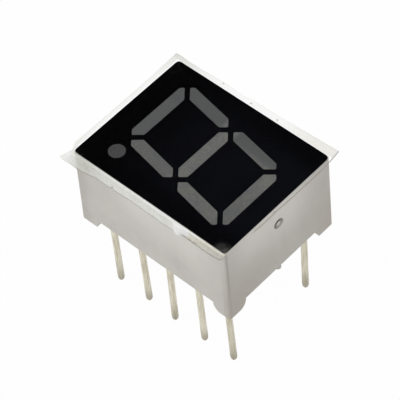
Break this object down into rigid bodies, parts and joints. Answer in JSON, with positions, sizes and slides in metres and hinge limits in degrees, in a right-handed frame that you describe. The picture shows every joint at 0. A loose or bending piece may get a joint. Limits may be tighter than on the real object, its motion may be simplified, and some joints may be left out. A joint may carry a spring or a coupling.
{
  "type": "seven segment display",
  "caption": "LED numeric display with a slanted seven segment digit and decimal point in a black face, a white footed housing, rows of straight pins and a clear film over the face.",
  "frame": {"origin": "middle of the bounding box, at the level of the pin tips; the middle of the two pin rows and of the face lie within 0.2 mm of the Z axis", "axes": "+Z out of the face, away from the pins; +X to the digit's right, across the pin rows; +Y to the digit's top, along the pin rows"},
  "size_m": [0.0113, 0.0139, 0.0141],
  "materials": {
    "white_housing_plastic": "satin",
    "black_mask_ink": "gloss",
    "board_laminate": "matte",
    "back_resin": "gloss",
    "solder": "satin",
    "bond_wire": "polished",
    "clear_film": "gloss",
    "grey_diffuser_resin": "matte",
    "light_chip": "satin",
    "tinned_pin": "satin"
  },
  "bodies": {
    "root": {"reflector_housing": "white_housing_plastic", "face_mask": "black_mask_ink", "circuit_board": "board_laminate", "back_resin": "back_resin", "solder_joints": "solder", "bond_wires": "bond_wire", "protective_film": "clear_film", "segment_a": "grey_diffuser_resin", "segment_b": "grey_diffuser_resin", "segment_c": "grey_diffuser_resin", "segment_d": "grey_diffuser_resin", "segment_e": "grey_diffuser_resin", "segment_f": "grey_diffuser_resin", "segment_g": "grey_diffuser_resin", "segment_dp": "grey_diffuser_resin", "led_die_a": "light_chip", "led_die_b": "light_chip", "led_die_c": "light_chip", "led_die_d": "light_chip", "led_die_e": "light_chip", "led_die_f": "light_chip", "led_die_g": "light_chip", "led_die_dp": "light_chip", "pin_1": "tinned_pin", "pin_2": "tinned_pin", "pin_3": "tinned_pin", "pin_4": "tinned_pin", "pin_5": "tinned_pin", "pin_6": "tinned_pin", "pin_7": "tinned_pin", "pin_8": "tinned_pin", "pin_9": "tinned_pin", "pin_10": "tinned_pin"}
  },
  "joints": []
}
